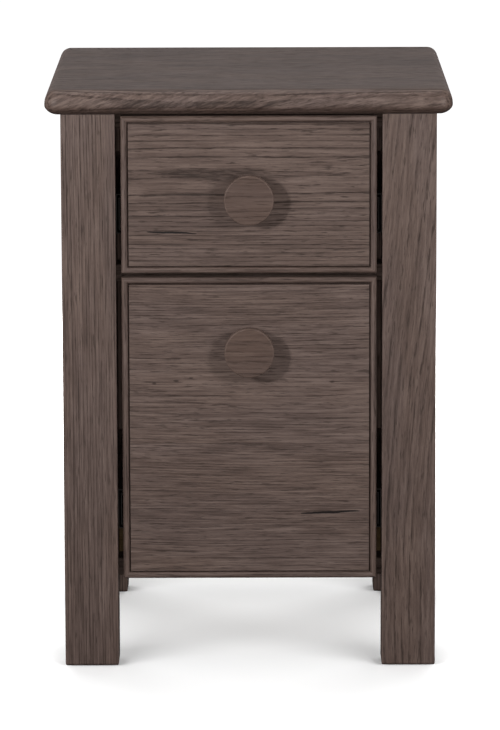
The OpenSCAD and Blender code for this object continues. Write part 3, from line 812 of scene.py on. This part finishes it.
def floor_material():
    """White, and shining a little where the nightstand's shadow has ended, and as painted light
    beside the legs.
    """
    material = bpy.data.materials.new("floor")
    t = Tree(material)
    seen = t.node("ShaderNodeLightPath").outputs["Is Camera Ray"]
    tone = t.madd(seen, FLOOR_SEEN - FLOOR_BOUNCE, FLOOR_BOUNCE)
    plain = t.node("ShaderNodeBsdfDiffuse")
    t.put(plain.inputs["Color"], t.combine(tone, tone, tone))
    x, y, _ = t.split(t.place())
    x = t.absolute(x)
    y = t.absolute(y)
    outside = t.distance(t.larger(t.sub(x, NEAR_X), 0.0), t.larger(t.sub(y, NEAR_Y), 0.0))
    # Painted light: beside the legs the floor's glow brightens their shadow away
    strength = t.larger(t.ramp(outside, *FAR_LIFT), t.ramp(x, *SIDE_LIFT))
    lift = t.node("ShaderNodeEmission")
    t.put(lift.inputs["Strength"], t.mul(seen, strength))
    both = t.node("ShaderNodeAddShader")
    t.put(both.inputs[0], plain.outputs[0])
    t.put(both.inputs[1], lift.outputs[0])
    t.finish(both.outputs[0])
    return material


def add_floor():
    mesh = bpy.data.meshes.new("floor")
    corners = [(x * FLOOR_HALF, y * FLOOR_HALF, 0) for x, y in ((-1, -1), (1, -1), (1, 1), (-1, 1))]
    mesh.from_pydata(corners, [], [(0, 1, 2, 3)])
    mesh.materials.append(floor_material())
    floor = bpy.data.objects.new("floor", mesh)
    scene.collection.objects.link(floor)
    return floor


# The world is white to the camera, lights weakly, and gives the wood and the steel a cool sheen
AMBIENT = 0.07
SHEEN = 0.35
WHITE = (1.0, 1.0, 1.0, 1.0)
COOL = (0.90, 0.96, 1.0, 1.0)


def add_world():
    world = bpy.data.worlds.new("world")
    scene.world = world
    t = Tree(world)
    path = t.node("ShaderNodeLightPath")
    strength = t.madd(path.outputs["Is Glossy Ray"], SHEEN - AMBIENT, AMBIENT)
    strength = t.larger(strength, path.outputs["Is Camera Ray"])
    strength = t.larger(strength, path.outputs["Is Transmission Ray"])
    back = t.node("ShaderNodeBackground")
    t.put(back.inputs["Color"], t.mix(path.outputs["Is Glossy Ray"], WHITE, COOL))
    t.put(back.inputs["Strength"], strength)
    out = t.node("ShaderNodeOutputWorld")
    t.put(out.inputs["Surface"], back.outputs[0])


def group_of(floor, state):
    """A group of lit objects that includes the floor alone or excludes it."""
    group = bpy.data.collections.new("lamp_group")
    group.objects.link(floor)
    group.collection_objects[0].light_linking.link_state = state
    return group


def add_lamp(name, place, target, size, power, group, mirrored=False):
    """A rectangular area lamp at place that looks at target and lights group."""
    data = bpy.data.lights.new(name, "AREA")
    data.shape = "RECTANGLE"
    data.size, data.size_y = size
    data.energy = power
    lamp = bpy.data.objects.new(name, data)
    scene.collection.objects.link(lamp)
    lamp.location = place
    lamp.rotation_euler = (Vector(target) - Vector(place)).to_track_quat("-Z", "Y").to_euler()
    lamp.visible_glossy = mirrored
    lamp.light_linking.receiver_collection = group


# The side lamps stand in front and, weaker, behind, so that the back is lit too. Seen from above,
# each is SIDE_AWAY from the point that it looks at. SIDE_LIT is that point's distance from the
# origin and its height.
SIDE_AZIMUTH = math.radians(34)
SIDE_AWAY = 1.7
SIDE_HEIGHT = 0.92
SIDE_LIT = (0.2, 0.5)
# The side, power and size of each
FRONT_LAMPS = ((-1, 15.6, (0.16, 0.24)), (1, 10.3, (0.26, 0.34)))
REAR_POWER = 9.0
REAR_SIZE = (0.30, 0.40)
# The end lamps stand to the left and right
END_AWAY = 2.2
END_HEIGHT = 1.0
END_LIT = (0, 0, 0.4)
END_POWER = 13.0
END_SIZE = (0.8, 0.8)
TOP_AT = (0, 0, 3.6)
TOP_LIT = (0, 0, 0.6)
TOP_POWER = 36.0
TOP_SIZE = (2.4, 2.4)
# A weak, small lamp just behind the camera reaches into the gaps round the drawers
FILL_AT = CAMERA_AT + Vector((0, -0.06, 0))
FILL_LIT = (0, 0, 0.35)
FILL_POWER = 46.0
FILL_SIZE = (0.08, 0.08)


def light_wood(group):
    ahead = SIDE_AWAY * math.cos(SIDE_AZIMUTH) + SIDE_LIT[0]
    for side, power, size in FRONT_LAMPS:
        x = side * SIDE_AWAY * math.sin(SIDE_AZIMUTH)
        add_lamp("front_lamp", (x, -ahead, SIDE_HEIGHT), (0, -SIDE_LIT[0], SIDE_LIT[1]), size,
                 power, group, mirrored=True)
        add_lamp("rear_lamp", (x, ahead, SIDE_HEIGHT), (0, *SIDE_LIT), REAR_SIZE, REAR_POWER,
                 group)
        add_lamp("end_lamp", (side * END_AWAY, 0, END_HEIGHT), END_LIT, END_SIZE, END_POWER,
                 group)
    add_lamp("top_lamp", TOP_AT, TOP_LIT, TOP_SIZE, TOP_POWER, group, mirrored=True)
    add_lamp("fill_lamp", FILL_AT, FILL_LIT, FILL_SIZE, FILL_POWER, group)


# Lamps for the floor alone, which draw the soft shadow and the short streaks beside the feet: low
# and wide ones at both sides, each at (x, y) with its power, and one above
FLOOR_LAMPS = ((1.29, -1.65, 62.0), (0.89, 1.90, 39.5), (2.10, 0.0, 8.0))
FLOOR_LAMP_HEIGHT = 0.5
FLOOR_LAMP_SIZE = (1.8, 0.45)
FLOOR_TOP_POWER = 19.0
FLOOR_TOP_SIZE = (4.0, 4.0)
ORIGIN = (0, 0, 0)


def light_floor(group):
    for side in (-1, 1):
        for x, y, power in FLOOR_LAMPS:
            add_lamp("floor_lamp", (side * x, y, FLOOR_LAMP_HEIGHT), ORIGIN, FLOOR_LAMP_SIZE,
                     power, group)
    add_lamp("floor_top_lamp", TOP_AT, ORIGIN, FLOOR_TOP_SIZE, FLOOR_TOP_POWER, group)


add_camera()
dress_top()
dress_legs()
dress_panels()
dress_rails()
dress_drawers()
dress_hardware()
floor = add_floor()
add_world()
light_wood(group_of(floor, "EXCLUDE"))
light_floor(group_of(floor, "INCLUDE"))

scene.view_settings.view_transform = "Standard"
